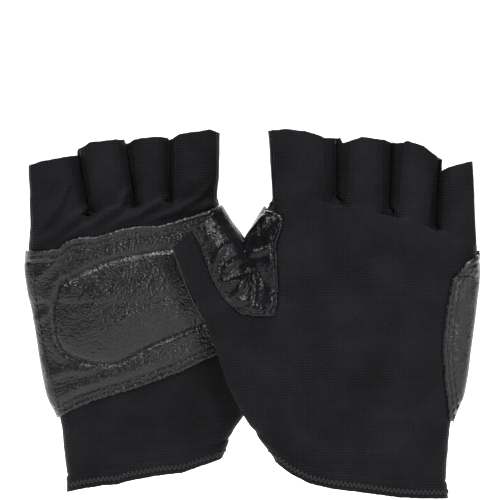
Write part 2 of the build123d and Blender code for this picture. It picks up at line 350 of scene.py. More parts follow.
FINGERS = ["little", "ring", "middle", "index"]
A = Glove(
    "a", -1,
    hand=[((-34.8, -16), (31, -2)), ((-35.2, -3), (35.4, 8)), ((-36.8, 12), (39.6, 18)),
          ((-38.4, 25), (46.4, 28)), ((-43.8, 37), (52.5, 40)), ((-47.4, 57), (59.3, 59)),
          ((-50.4, 75), (63.8, 71)), ((-53, 88), (67.3, 80)), ((-53.5, 93), (69.6, 85.5)),
          ((-50, 99), (65, 93))],
    palm_lobe=[((-51.6, 80), (40, 80)), ((-53.6, 92), (45, 96)), ((-53.2, 103), (45.4, 105.5)),
               ((-52.5, 108), (40, 114)), ((-52.3, 111), (34.6, 122)), ((-52.2, 112), (33.6, 126))],
    arch=3.2,
    thumb=[((38, 82), (64, 73)), ((42, 94), (69.6, 85)), ((47.5, 107.5), (73.8, 95)),
           ((56, 122), (76.6, 104)), ((63, 131), (81.5, 113))],
    # each finger: rows of z, left, right, and how far the far side spreads past each
    fingers={"little": [(98, -53.2, -25.4, 0, 0), (114, -52.4, -25.6, 0, 0), (130, -52.8, -29.4, 0, 1.3),
                        (152, -53.4, -34.0, 0, 2.2)],
             "ring": [(106, -23.6, -4.6, 0, 0), (121, -23.8, -4.8, 0, 0), (138, -27.0, -8.6, 0.6, 1.0),
                      (159, -29.4, -13.0, 1.0, 2.4)],
             "middle": [(108, -2.8, 10.6, 0, 0), (123, -3.0, 10.6, 0, 0), (139, -4.8, 10.6, 1.1, 0),
                        (160, -6.8, 10.6, 2.1, 0)],
             "index": [(110, 12.4, 33.4, 0, 0), (126, 12.3, 33.4, 0, 0), (141, 12.2, 34.4, 0, 0),
                       (164, 12.2, 34.6, 0, 0)]},
    slits={"little": ((-52.4, 111.5), (-25, 119)), "ring": ((-24.5, 119), (-3.8, 122.5)),
           "middle": ((-3.8, 122.5), (11.5, 124.6)), "index": ((11.5, 124.6), (34, 126.5))},
    hems={"little": [(-54, 141.2), (-45, 143.4), (-33, 145.8)],
          "ring": [(-29, 149.2), (-25, 151.8), (-12, 153.2)],
          "middle": [(-7, 151.6), (-4, 153.2), (4, 154.4), (11, 154)],
          "index": [(11.6, 153), (16, 155.4), (30, 157.6), (34.4, 156.2)]},
    cuff=[(-40, -9.6), (-31.7, -7.2), (-19.1, -4.8), (-12.4, -4.5), (-7, -2.7), (7.9, 0), (17.3, 0.9),
          (26.3, 4), (34, 6.4), (50, 14)],
    thumb_hem=[(56, 122), (61.5, 118.4), (69.4, 111.4), (76.6, 104)],
    crotch=(46.6, 103.5),
)
B = Glove(
    "b", 1,
    hand=[((61.6, -3), (138.6, -18)), ((60.2, 8), (136.4, -3)), ((53.8, 17.1), (137.2, 12)),
          ((46.8, 26.4), (138.6, 25.2)), ((39.6, 39.4), (143.8, 39)), ((32.6, 59.4), (146.4, 57)),
          ((28.1, 71.1), (148.4, 72)), ((24.6, 78.6), (149.8, 84)), ((21.4, 84.8), (150.3, 89)),
          ((26, 93), (147, 97))],
    palm_lobe=[((50, 78), (148.8, 78)), ((45.6, 95), (150.5, 91)), ((46.4, 105.4), (150.5, 99)),
               ((51.8, 114.4), (150.3, 102.6)), ((58.6, 122.4), (150, 104.4)),
               ((60.8, 126), (149.9, 105))],
    arch=4.3,
    thumb=[((27, 73), (54, 82)), ((21.2, 85), (48.8, 94)), ((17.4, 95), (43.6, 106.5)),
           ((14.2, 104), (35.1, 121.7)), ((9.6, 113), (28.4, 130.4))],
    fingers={"index": [(108, 58.8, 86.0, 0, 1), (123, 58.6, 85.0, 0, 2.2), (140, 57.8, 83.4, 0.2, 4.2),
                       (163, 56.2, 81.2, 0.4, 6.4)],
             "middle": [(104, 89.6, 109.6, 0.4, 0), (120, 89.8, 109.0, 1.0, 0.8),
                        (138, 91.6, 108.8, 2.4, 2.4), (160, 92.6, 108.4, 3.4, 4.2)],
             "ring": [(98, 112.4, 130.4, 0, 0), (114, 112.6, 129.8, 0.4, 0.6),
                      (132, 114.8, 131.2, 2.0, 1.0), (158, 117.6, 133.0, 3.4, 0.8)],
             "little": [(92, 133.4, 150.4, 0, 0), (109, 133.4, 150.1, 0.2, 0),
                        (126, 134.2, 149.4, 0.4, 0), (150, 135.4, 148.0, 0.6, 0)]},
    slits={"index": ((58, 126.5), (88.4, 122.9)), "middle": ((88.4, 122.9), (111.4, 119.3)),
           "ring": ((111.4, 119.3), (132.1, 111.2)), "little": ((132.1, 111.2), (151, 105))},
    hems={"index": [(56, 156.2), (64, 156.8), (73, 156), (82, 153)],
          "middle": [(91, 151), (98, 153), (108.4, 152.2), (112, 151)],
          "ring": [(115, 150.6), (119, 151.4), (126, 149), (134, 143.4)],
          "little": [(133.6, 137.8), (139, 140.4), (148.4, 142.4)]},
    cuff=[(50, 14), (61, 6.4), (66.4, 2.3), (74.9, -1.8), (84.8, -4.1), (99.2, -5.9), (115.4, -8.1),
          (137.9, -9), (150, -9)],
    thumb_hem=[(14.2, 104), (21.8, 111.6), (29.5, 118.4), (35.1, 121.7)],
    crotch=(45.4, 103),
)
GLOVES = [A, B]
print("middle planes at", [round(g.mid, 2) for g in GLOVES], "mm")

# %% [markdown]
# ## The form of the hand
# A sculptor would block the hand out of a few simple volumes and blend them. We do the same: a flat oval
# tube for the hand, one for its upper half, one for the thumb and one for each finger, then a voxel remesh,
# which merges volumes that overlap into one even skin. Oval rows with a squareness above 2 are flat in the
# middle and round at the edges, as a hand is.

# %% Meshes and objects
def new_mesh(name, corners, faces):
    mesh = bpy.data.meshes.new(name)
    mesh.from_pydata(corners, [], faces)
    return mesh


def put(name, mesh):
    """A new object in the scene, with this mesh."""
    piece = bpy.data.objects.new(name, mesh)
    bpy.context.collection.objects.link(piece)
    return piece


def opened(mesh):
    """A mesh as a bmesh, which can be cut."""
    form = bmesh.new()
    form.from_mesh(mesh)
    return form


def write_back(form, mesh):
    """Put a bmesh into a mesh, and free it."""
    form.to_mesh(mesh)
    form.free()
    mesh.update()
    return mesh


def only(*pieces):
    """Select these pieces and nothing else."""
    bpy.ops.object.select_all(action="DESELECT")
    for piece in pieces:
        piece.select_set(True)
    bpy.context.view_layer.objects.active = pieces[0]


def modify(piece, kind, **settings):
    """Add a modifier and apply it."""
    only(piece)
    modifier = piece.modifiers.new(kind.lower(), kind)
    for key, value in settings.items():
        setattr(modifier, key, value)
    bpy.ops.object.modifier_apply(modifier=modifier.name)


# %% Lofts
HALF_DEPTH = 11.0
FINGER_DEPTH = 10.2
ROW_STEPS = 6
RING_POINTS = 72
VOXEL = 0.8
SPREAD_BAND = 0.6
THIN_PART = 0.3
THUMB_THINNER = 0.5


def through(rows, steps=ROW_STEPS):
    """Smooth rows of numbers through the given ones (a Catmull-Rom curve)."""
    rows = np.asarray(rows, float)
    ends = np.vstack([2 * rows[0] - rows[1], rows, 2 * rows[-1] - rows[-2]])
    out = []
    for i in range(1, len(ends) - 2):
        p0, p1, p2, p3 = ends[i - 1:i + 3]
        slope, bend, twist = p2 - p0, 2 * p0 - 5 * p1 + 4 * p2 - p3, 3 * p1 - p0 - 3 * p2 + p3
        out += [0.5 * (2 * p1 + slope * t + bend * t**2 + twist * t**3) for t in np.arange(steps) / steps]
    return np.array(out + [rows[-1]])


def squared(wave, squareness):
    """A cosine or sine that stays near its ends for longer, so that an oval made of it is flatter."""
    return np.sign(wave) * np.abs(wave) ** (2 / squareness)


def oval(left, right, mid, depth, squareness, spread=(0, 0), arch=0.0):
    """One row: a closed oval between two points, bent up by arch in its middle, and wider at its far side."""
    angles = np.arange(RING_POINTS) * 2 * pi / RING_POINTS
    across, deep = squared(np.cos(angles), squareness), squared(np.sin(angles), squareness)
    share = (1 + across) / 2
    rear = np.clip((deep + SPREAD_BAND) / (2 * SPREAD_BAND), 0, 1)
    x_left, x_right = left[0] - spread[0] * rear, right[0] + spread[1] * rear
    x = x_left + (x_right - x_left) * share
    z = left[1] + (right[1] - left[1]) * share + arch * (1 - across**2)
    return np.column_stack([x, mid + depth * deep, z]) * MM


def tube(name, rings):
    """A closed mesh through rings of points, with both ends capped."""
    count, last = len(rings[0]), (len(rings) - 1) * len(rings[0])
    faces = [(i + k, i + (k + 1) % count, i + count + (k + 1) % count, i + count + k)
             for i in range(0, last, count) for k in range(count)]
    faces += [tuple(range(count)), tuple(range(last, last + count))]
    mesh = new_mesh(name, np.vstack(rings).tolist(), faces)
    form = opened(mesh)
    bmesh.ops.recalc_face_normals(form, faces=form.faces)
    return put(name, write_back(form, mesh))


def loft_rows(name, rows, mid, depth, squareness, arch=0.0, thin_top=0.0):
    """A volume through rows. It arches up, and can get thinner at its top, to end inside others."""
    table = through([[*left, *right] for left, right in rows])
    rings = []
    for i, row in enumerate(table):
        share = i / (len(table) - 1)
        thinner = 1 - thin_top * max(share - (1 - THIN_PART), 0) / THIN_PART
        rings.append(oval(row[:2], row[2:], mid, depth * thinner, squareness, arch=arch * share))
    return tube(name, rings)


def loft_finger(name, rows, mid):
    """A finger, from its rows of height, left, right and two spreads."""
    rings = [oval((left, z), (right, z), mid, FINGER_DEPTH, squareness=3.0, spread=spread)
             for z, left, right, *spread in through(rows)]
    return tube(name, rings)


def hand_form(glove):
    """The hand, as one smooth closed skin."""
    p, mid = glove.prefix, glove.mid
    volumes = [
        loft_rows(f"{p}_form", glove.hand, mid, HALF_DEPTH, squareness=2.7, thin_top=0.35),
        loft_rows(f"{p}_upper", glove.palm_lobe, mid, HALF_DEPTH, squareness=2.9, arch=glove.arch),
        loft_rows(f"{p}_thumb_form", glove.thumb, mid, HALF_DEPTH - THUMB_THINNER, squareness=2.4),
    ]
    volumes += [loft_finger(f"{p}_{name}_form", rows, mid) for name, rows in glove.fingers.items()]
    only(*volumes)
    bpy.ops.object.join()
    form = bpy.context.object
    modify(form, "REMESH", mode="VOXEL", voxel_size=VOXEL * MM, use_smooth_shade=True)
    modify(form, "SMOOTH", factor=0.5, iterations=10)
    print(form.name, len(form.data.polygons), "faces")
    return form


forms = {glove.prefix: hand_form(glove) for glove in GLOVES}

# %% [markdown]
# ## Cloth with folds
# Stretch fabric hugs the hand, but it bunches in long soft folds where the hand bends. Each fold is a ridge
# along a short line: the skin rises towards the line and falls off to both sides, and fades at the line's
# ends. A little smooth noise keeps the rest from looking moulded.


# %% Measuring along lines
def near_line(points, line):
    """For each x, z point: its distance to a line of corners, and how far along the line it is, 0 to 1."""
    line = np.asarray(line, float)
    spans = np.linalg.norm(np.diff(line, axis=0), axis=1)
    total, walked = spans.sum(), 0.0
    best, share = np.full(len(points), np.inf), np.zeros(len(points))
    for start, end, span in zip(line[:-1], line[1:], spans):
        t = np.clip((points - start) @ (end - start) / span**2, 0, 1)
        gap = np.linalg.norm(points - start - t[:, None] * (end - start), axis=1)
        closer = gap < best
        best[closer], share[closer] = gap[closer], (walked + t[closer] * span) / total
        walked += span
    return best, share


TINY = 1e-9


def inside(points, outline):
    """How far each x, z point is inside a closed outline: negative outside."""
    outline = np.asarray(outline, float)
    depth, _ = near_line(points, np.vstack([outline, outline[:1]]))
    within = np.zeros(len(points), bool)
    x, z = points[:, 0], points[:, 1]
    for (x0, z0), (x1, z1) in zip(outline, np.roll(outline, -1, axis=0)):
        crosses = (z0 > z) != (z1 > z)
        rise = z1 - z0 if z1 != z0 else TINY
        within ^= crosses & (x < x0 + (z - z0) * (x1 - x0) / rise)
    return np.where(within, depth, -depth)


def smooth_step(value, low, high):
    """0 up to low and 1 from high on, with a soft S between."""
    t = np.clip((value - low) / (high - low), 0, 1)
    return t * t * (3 - 2 * t)


def ridge(distance, width):
    """1 on a line, and next to nothing at twice the width from it."""
    return np.exp(-(distance / width) ** 2)


def rounded_outline(points, steps=4):
    """A smooth outline through the given points. It closes with a straight side."""
    ring = np.asarray(points, float)
    table = through(np.vstack([ring[-2:], ring, ring[:2]]), steps)
    return table[2 * steps:(len(ring) + 1) * steps + 1]


def closed(outline):
    """The outline with its first point once more at its end."""
    return np.vstack([outline, outline[:1]])


# %% Reading and moving the points of a mesh
def vectors(items, what):
    """A vector of each vertex or face of a mesh, one a row."""
    flat = np.empty(len(items) * 3)
    items.foreach_get(what, flat)
    return flat.reshape(-1, 3)


def places_in(mesh):
    """The place of every vertex, in millimetres."""
    return vectors(mesh.vertices, "co") / MM


def move_to(mesh, places):
    """Move every vertex to its new place, in metres."""
    mesh.vertices.foreach_set("co", places.ravel())
    mesh.update()


def lift(mesh, heights):
    """Move every vertex along its normal by its height in millimetres."""
    ways = vectors(mesh.vertices, "normal") * (heights * MM)[:, None]
    move_to(mesh, vectors(mesh.vertices, "co") + ways)


def x_and_z(places):
    return places[:, [0, 2]]


SEED_STEP = (13.7, 5.1, 9.3)


def unevenness(places, size, seed):
    """Smooth noise from -1 to 1 at each place, with lumps of about size millimetres."""
    shift = Vector([seed * step for step in SEED_STEP])
    return np.array([noise.noise(Vector(p) / size + shift) for p in places])


print("the forms' points:", [len(places_in(form.data)) for form in forms.values()])

# %% [markdown]
# ## Cutting along any line
# A knife that follows a curve: give every vertex a number that is zero on the line, negative on one side
# and positive on the other. Each edge that changes sign gets a new vertex exactly where the number is zero,
# and each face that the line crosses is split between its two new vertices. Hems, seams and leather edges
# all come from this one cut, so they are clean at any angle.


# %% The cut
SNAP = 0.12
OFF = -9.0


def cut(form, numbers):
    """Split a bmesh along the zero line of numbers, one for each vertex."""
    form.verts.ensure_lookup_table()
    values = dict(zip(form.verts, np.where(np.abs(numbers) < SNAP, 0.0, numbers).tolist()))
    for edge in [e for e in form.edges if values[e.verts[0]] * values[e.verts[1]] < 0]:
        first, second = edge.verts
        share = values[first] / (values[first] - values[second])
        _, fresh = bmesh.utils.edge_split(edge, first, share)
        values[fresh] = 0.0
    crossed = [f for f in form.faces if min(values[v] for v in f.verts) < 0 < max(values[v] for v in f.verts)]
    for face in crossed:
        on_line = [v for v in face.verts if values[v] == 0.0]
        if len(on_line) == 2:
            try:
                bmesh.utils.face_split(face, *on_line)
            except ValueError:
                pass  # the two already share an edge
    return values


def remove(form, numbers):
    """Cut along the zero line and throw away the positive side."""
    values = cut(form, numbers)
    gone = [f for f in form.faces if sum(values[v] for v in f.verts) > 0]
    bmesh.ops.delete(form, geom=gone, context="FACES")


def finish_cut(form, mesh):
    """Split the faces that cuts have left with many corners, and put the bmesh into a mesh."""
    bmesh.ops.triangulate(form, faces=[f for f in form.faces if len(f.verts) > 4])
    return write_back(form, mesh)


def places_of(form):
    return np.array([v.co for v in form.verts]) / MM


# %% The folds of the fabric
class Fold:
    """A ridge of cloth: its line in x and z, its height, its width, and the side it is on."""

    def __init__(self, side, height, width, *line):
        self.side, self.height, self.width, self.line = side, height, width, line


PALM, BACK = "palm", "back"
FOLDS = {
    "a": [
        Fold(PALM, 2.4, 2.0, (-53, 103.5), (-41, 110), (-30, 118), (-20, 129)),
        Fold(PALM, 2.0, 1.7, (-53, 110), (-45, 115), (-38, 124), (-34, 134)),
        Fold(PALM, 2.4, 1.8, (-38, 107), (-24, 114.5), (-11, 122.5), (-6, 134)),
        Fold(PALM, 2.2, 1.7, (-16, 113.5), (-2, 119), (12, 127.5)),
        Fold(PALM, 2.0, 1.7, (0, 116), (13, 119.5), (24, 125.5), (31, 133)),
        Fold(PALM, 1.6, 2.2, (14, 119), (24, 121.5), (34, 124)),
        Fold(PALM, 1.4, 2.2, (-51, 124), (-45, 130), (-41, 139)),
        Fold(PALM, 0.5, 2.2, (-24, 128), (-16, 130), (-8, 128)),
        Fold(PALM, 0.5, 2.2, (14, 131), (22, 134), (31, 133)),
        Fold(PALM, 0.9, 3.0, (-36, 20), (-22, 23), (-2, 30), (20, 40)),
        Fold(PALM, 0.7, 2.4, (-34, 12), (-14, 14), (8, 22), (30, 28)),
        Fold(PALM, 0.6, 2.6, (-30, 4), (-6, 6), (18, 12), (34, 18)),
    ],
    "b": [
        Fold(BACK, 0.9, 3.2, (60, 70), (72, 62), (90, 58), (112, 60)),
        Fold(BACK, 0.8, 3.0, (38, 66), (46, 56), (58, 42), (66, 28)),
        Fold(BACK, 0.6, 2.6, (46, 44), (60, 32), (80, 24)),
        Fold(BACK, 0.8, 2.6, (62, 20), (84, 12), (112, 10), (134, 12)),
        Fold(BACK, 0.7, 2.6, (84, 30), (108, 26), (136, 28)),
        Fold(BACK, 0.6, 3.4, (66, 96), (78, 104), (88, 116)),
        Fold(BACK, 0.7, 3.6, (98, 92), (100, 106), (99, 120), (99, 134)),
        Fold(BACK, 0.6, 3.6, (121, 86), (121, 100), (121, 116), (122, 130)),
        Fold(BACK, 0.5, 3.2, (140, 92), (141, 106), (141, 122)),
        Fold(BACK, 0.6, 2.4, (64, 127), (74, 130), (84, 128)),
        Fold(BACK, 0.5, 2.2, (92, 124), (100, 127), (108, 124)),
        Fold(BACK, 0.5, 2.0, (115, 119), (122, 121), (129, 117)),
        Fold(BACK, 0.5, 2.4, (26, 88), (24, 98), (27, 106)),
    ],
}
ROUND_EDGE = 4.0
FADE = 0.6
HOLLOW, HOLLOW_WIDTH = 0.35, 2.4


def side_of(glove, places):
    """+1 on the palm side of each place and -1 on the back, falling to 0 at the side edges."""
    return np.clip((places[:, 1] - glove.mid) * glove.palm / ROUND_EDGE, -1, 1)


def fold_heights(glove, places, folds):
    """How far the cloth stands up at each place: a ridge at each fold, with a shallow hollow round it."""
    heights = np.zeros(len(places))
    side = side_of(glove, places)
    for fold in folds:
        distance, share = near_line(x_and_z(places), fold.line)
        facing = np.clip(side if fold.side == PALM else -side, 0, 1)
        taper = np.clip(np.sin(pi * share), 0, 1) ** FADE
        heights += fold.height * ridge(distance, fold.width) * taper * facing
        heights -= HOLLOW * fold.height * ridge(distance, HOLLOW_WIDTH * fold.width) * taper * facing
    return heights


print("folds:", {prefix: len(folds) for prefix, folds in FOLDS.items()})

# %% [markdown]
# ## The leather's outlines
# The palm patch covers the palm from below the knuckles to above the wrist and wraps round the
# little-finger edge, where it ends in a crescent on the back. A second patch covers the crotch of the
# thumb. The pad's outline is where the palm leather is sewn down round the foam.

# %% Outlines of the leather, in millimetres
A.palm_top = [(-55, 102.2), (-39.4, 103.1), (-34.9, 107.1), (-30.4, 108.5), (-21.4, 108.9),
              (-10.1, 112.5), (-1.1, 113.9), (7.9, 114.1), (28.1, 120.2), (33.5, 122.9)]
A.palm_bottom = [(50, 62), (34.9, 55.4), (16.9, 46.8), (-3.8, 39.2), (-19.1, 34.7), (-28.1, 31.5),
                 (-38.5, 26.1)]
A.leather = [(-62, 102.2), *A.palm_top, (46, 128), (90, 128), (90, 78), (66, 70), *A.palm_bottom,
             (-62, 26.1)]
A.pad = [(-38.5, 86.4), (-29.9, 91.4), (-17.8, 96.8), (-3.8, 100.4), (9.2, 102.6), (24, 103.6),
         (37, 99.5), (41, 89), (37, 77), (29.5, 70.2), (18.7, 65.7), (4.7, 59.9), (-10.6, 51.8),
         (-20.9, 50.9), (-28.1, 52.3), (-34.9, 55.7), (-39.5, 62), (-41, 76)]
A.strip = [(-50.4, 96), (-50, 84), (-47.2, 64.8), (-43.4, 47), (-38.9, 31)]
B.crescent_edge = [(151.5, 101.7), (145.1, 97.2), (138.4, 89.1), (136.6, 80.1), (134.8, 66.6),
                   (134.3, 57.6), (135.2, 44.1), (136.6, 35.1), (137.7, 26.6), (139.3, 25)]
B.crescent = [(165, 101.7), *B.crescent_edge, (165, 25)]
B.web_edge = [(19.8, 114), (22.6, 110.6), (25.9, 104.9), (31.3, 89.1), (37.1, 80.1), (43.9, 73.8),
              (51.5, 72.6), (59.2, 73), (61, 79), (61.4, 88), (60.4, 105), (63, 112.5), (63.4, 117.4),
              (60, 119.6), (52, 121)]
B.web = [*B.web_edge, (46, 140), (24, 140)]
MIRROR = 96.7  # what the x of a point and of its mirror image add up to


def mirrored(outline):
    """The same outline on the other glove, which faces the other way."""
    return [(MIRROR - x, z) for x, z in outline]


for name in ("leather", "pad", "palm_top", "palm_bottom", "strip"):
    setattr(B, name, mirrored(getattr(A, name)))
for name in ("crescent", "crescent_edge", "web", "web_edge"):
    setattr(A, name, mirrored(getattr(B, name)))
for glove in GLOVES:
    glove.pad = rounded_outline(glove.pad)
print("pad outlines:", [len(glove.pad) for glove in GLOVES], "points")


def under_leather(glove, places):
    """How far inside the leather each place of the fabric is, in millimetres."""
    at = x_and_z(places)
    on_back = np.maximum(inside(at, glove.crescent), inside(at, glove.web))
    return np.where(side_of(glove, places) > 0, inside(at, glove.leather), on_back)


# %% [markdown]
# ## The fabric
# The skin gets its folds, is cut along its hems, and gets its thickness. Then it is cut into the pieces
# that are sewn together on a real glove: two panels for the hand, two for each finger, strips between the
# fingers, and two for the thumb. All pieces come from one smooth skin and keep its normals, so the seams
# stay tight.

# %% Fingers, thumb and hems
CLOTH = 0.9
HEM_WAVE, HEM_WAVE_SIZE = 0.35, 4.0
FINGER_MARGIN, CREASE_MARGIN = 1.2, 1.0
BELOW_SLITS = 6.0
THUMB_WAY, THUMB_ASIDE = (0.52, 0.85), (1.0, 0.25)
THUMB_ROOT = 96
STALL_SPREAD, STALL_START = 4, 2.0


def beside(glove, name, at, margin):
    """Which places are between the sides of a finger, or less than the margin past them."""
    rows = np.array(glove.fingers[name])
    left = np.interp(at[:, 1], rows[:, 0], rows[:, 1] - rows[:, 3]) - margin
    right = np.interp(at[:, 1], rows[:, 0], rows[:, 2] + rows[:, 4]) + margin
    return (at[:, 0] > left) & (at[:, 0] < right)


def finger_middle(glove, name, z):
    rows = np.array(glove.fingers[name])
    return np.interp(z, rows[:, 0], (rows[:, 1] + rows[:, 2]) / 2)


def finger_of(glove, places, below=0.5):
    """Which finger each place belongs to, from a little below the slits between them up: -1 for none."""
    found = np.full(len(places), -1)
    at = x_and_z(places)
    for i, name in enumerate(FINGERS):
        (x0, z0), (x1, z1) = glove.slits[name]
        line = z0 + (at[:, 0] - x0) * (z1 - z0) / (x1 - x0)
        found[beside(glove, name, at, FINGER_MARGIN) & (at[:, 1] > line - below)] = i
    return found


def past_slit(glove, name, at):
    """How far above the line between a finger's two slits each place is, square to that line."""
    (x0, z0), (x1, z1) = glove.slits[name]
    across = np.array([x1 - x0, z1 - z0]) / np.hypot(x1 - x0, z1 - z0)
    return (at - [x0, z0]) @ np.array([-across[1], across[0]])


def crease_of(glove, at):
    """Which finger's moving part each place is in: above the line between its slits. -1 for none."""
    found = np.full(len(at), -1)
    for i, name in enumerate(FINGERS):
        found[beside(glove, name, at, CREASE_MARGIN) & (past_slit(glove, name, at) > 0)] = i
    return found


def thumb_side(glove):
    """The direction from the crotch of the thumb towards the thumb, in x and z."""
    return np.array([-glove.palm * THUMB_ASIDE[0], THUMB_ASIDE[1]])


def thumb_direction(glove):
    """The direction from the root of the thumb to its tip, in x and z."""
    way = np.array([-glove.palm * THUMB_WAY[0], THUMB_WAY[1]])
    return way / np.linalg.norm(way)


def past_thumb_line(glove, at):
    """How far each place is up the thumb from the crease at its crotch: where the stall starts to swing."""
    up = (at - glove.crotch) @ thumb_direction(glove)
    aside = (at - glove.crotch) @ thumb_side(glove)
    return np.minimum(up, aside * STALL_SPREAD + STALL_START)


def hem_height(line, x):
    line = np.asarray(line, float)
    return np.interp(x, line[:, 0], line[:, 1])


def above_cuff(glove, places):
    return places[:, 2] - hem_height(glove.cuff, places[:, 0])


def past_hems(glove, places, seed):
    """How far each place is past the nearest hem, in millimetres: negative on the glove."""
    at = x_and_z(places)
    wave = HEM_WAVE * unevenness(places, HEM_WAVE_SIZE, seed)
    past = hem_height(glove.cuff, at[:, 0]) + 0.5 * wave - at[:, 1]
    finger = finger_of(glove, places)
    for i, name in enumerate(FINGERS):
        mine = finger == i
        past[mine] = at[mine, 1] - hem_height(glove.hems[name], at[mine, 0]) + wave[mine]
    (x0, z0), (x1, z1) = glove.thumb_hem[0], glove.thumb_hem[-1]
    out = np.array([-(z1 - z0), x1 - x0]) / np.hypot(x1 - x0, z1 - z0)
    out = out if out[1] > 0 else -out
    near_thumb = (at[:, 1] > THUMB_ROOT) & ((at - glove.crotch) @ thumb_side(glove) > -1.0) & (finger < 0)
    past[near_thumb] = ((at - [x0, z0]) @ out + wave)[near_thumb]
    return past


# %% Names of the pieces
GUSSET_HALF = 7.4
SIDEWAYS = 0.3


def piece_names(glove, places, facing):
    """The name of the piece that each face belongs to, from its middle and its normal."""
    at = x_and_z(places)
    palm_side = (places[:, 1] - glove.mid) * glove.palm > 0
    finger = crease_of(glove, at)
    on_thumb = (past_thumb_line(glove, at) > 0) & (finger < 0)
    names = np.where(palm_side, "palm_shell", "back_shell").astype(object)
    names[on_thumb] = np.where(palm_side, "thumb_stall_palm", "thumb_stall_back")[on_thumb]
    on_side = (np.abs(places[:, 1] - glove.mid) < GUSSET_HALF) & (np.abs(facing[:, 0]) > SIDEWAYS)
    for i, name in enumerate(FINGERS):
        mine = finger == i
        names[mine] = np.where(palm_side, f"{name}_stall_palm", f"{name}_stall_back")[mine]
        gusset = mine & on_side
        towards_thumb = (finger_middle(glove, name, at[:, 1]) - at[:, 0]) * glove.palm
        if name == "little":
            gusset &= towards_thumb > 0
        if name == "index":
            gusset &= towards_thumb < 0
        names[gusset] = f"{name}_gusset"
    return names


# %% Sewing lines: small ridges and grooves along the seams
SEAM, SEAM_WIDTH = 0.5, 0.7
GROOVE, GROOVE_AWAY = 0.35, 1.5
SIDE_SEAM, SIDE_SEAM_WIDTH = 0.3, 0.8


def seam_heights(glove, places):
    """Raised seams along the side of the hand and along each finger's gussets."""
    depth = np.abs(places[:, 1] - glove.mid)
    on_finger = finger_of(glove, places) >= 0
    heights = SEAM * ridge(depth - GUSSET_HALF, SEAM_WIDTH) * on_finger
    heights -= GROOVE * ridge(depth - GUSSET_HALF + GROOVE_AWAY, SEAM_WIDTH) * on_finger
    return heights + SIDE_SEAM * ridge(depth, SIDE_SEAM_WIDTH) * ~on_finger


def cut_seams(form, glove):
    """Cut the fabric along every line where two of its pieces meet."""
    cut(form, places_of(form)[:, 1] - glove.mid)
    for i, name in enumerate(FINGERS):
        places = places_of(form)
        mine = (finger_of(glove, places + [0, 0, BELOW_SLITS]) == i) | (finger_of(glove, places) == i)
        cut(form, np.where(mine, past_slit(glove, name, x_and_z(places)), OFF))
    for side in (-1, 1):
        places = places_of(form)
        on_finger = crease_of(glove, x_and_z(places)) >= 0
        cut(form, np.where(on_finger, side * (places[:, 1] - glove.mid) - GUSSET_HALF, OFF))
    at = x_and_z(places_of(form))
    cut(form, np.where(crease_of(glove, at) < 0, past_thumb_line(glove, at), OFF))


# %% Pieces from a skin
def take_pieces(mesh, labels, prefix, materials):
    """Cut a mesh into one object for each label, keeping the whole mesh's normals along the cuts."""
    places, facing = vectors(mesh.vertices, "co"), vectors(mesh.vertices, "normal")
    groups = {}
    for polygon, label in zip(mesh.polygons, labels):
        groups.setdefault(label, []).append((tuple(polygon.vertices), polygon.material_index))
    made = {}
    for label, faces in groups.items():
        used = np.unique([v for face, _ in faces for v in face])
        place_of = {int(v): i for i, v in enumerate(used)}
        corners = [[place_of[v] for v in face] for face, _ in faces]
        piece_mesh = new_mesh(f"{prefix}_{label}", places[used].tolist(), corners)
        piece_mesh.polygons.foreach_set("material_index", [m for _, m in faces])
        piece_mesh.polygons.foreach_set("use_smooth", [True] * len(faces))
        for material in materials:
            piece_mesh.materials.append(material)
        piece_mesh.normals_split_custom_set_from_vertices(facing[used].tolist())
        made[label] = put(piece_mesh.name, piece_mesh)
    print(prefix, {label: len(piece.data.polygons) for label, piece in made.items()})
    return made


def thicken(mesh, depth, materials, rim=0):
    """Give a skin its thickness, with the rim in its own material."""
    piece = put("skin", mesh)
    mesh.materials.clear()
    for material in materials:
        mesh.materials.append(material)
    modify(piece, "SOLIDIFY", thickness=depth * MM, offset=-1.0, use_rim=True, material_offset_rim=rim,
           use_even_offset=False)
    result = piece.data
    bpy.data.objects.remove(piece)
    return result


# %% Close the fingers
FINGER_AIR = 0.08
SKEW = 1.2
LEVELS = np.arange(100.0, 165.0, 1.5)
LEVEL_BAND = 0.8
CLEAR_OF_SLIT = 3.0
SMALLEST_GAP = 0.3

# where each effect grows from nothing to full: in depth, in share of a finger's width, and above its slits
FAR_SIDE, LEAN, TOWARDS_GAP, FREE = (-7.0, -0.5), (-1.5, 5.0), (0.1, 0.96), (-4.0, -1.5)


def finger_edges(glove, name, at, finger):
    """The left and right edge of a finger at each level, measured well above its slits."""
    mine = (finger == FINGERS.index(name)) & (past_slit(glove, name, at) > CLEAR_OF_SLIT)
    x, z = at[mine, 0], at[mine, 1]
    centre = finger_middle(glove, name, z)
    edges = []
    for half, pick in ((x < centre, np.min), (x > centre, np.max)):
        bands = [half & (np.abs(z - level) < LEVEL_BAND) for level in LEVELS]
        known = np.array([band.any() for band in bands])
        edges.append(np.interp(LEVELS, LEVELS[known], [pick(x[band]) for band in bands if band.any()]))
    return edges


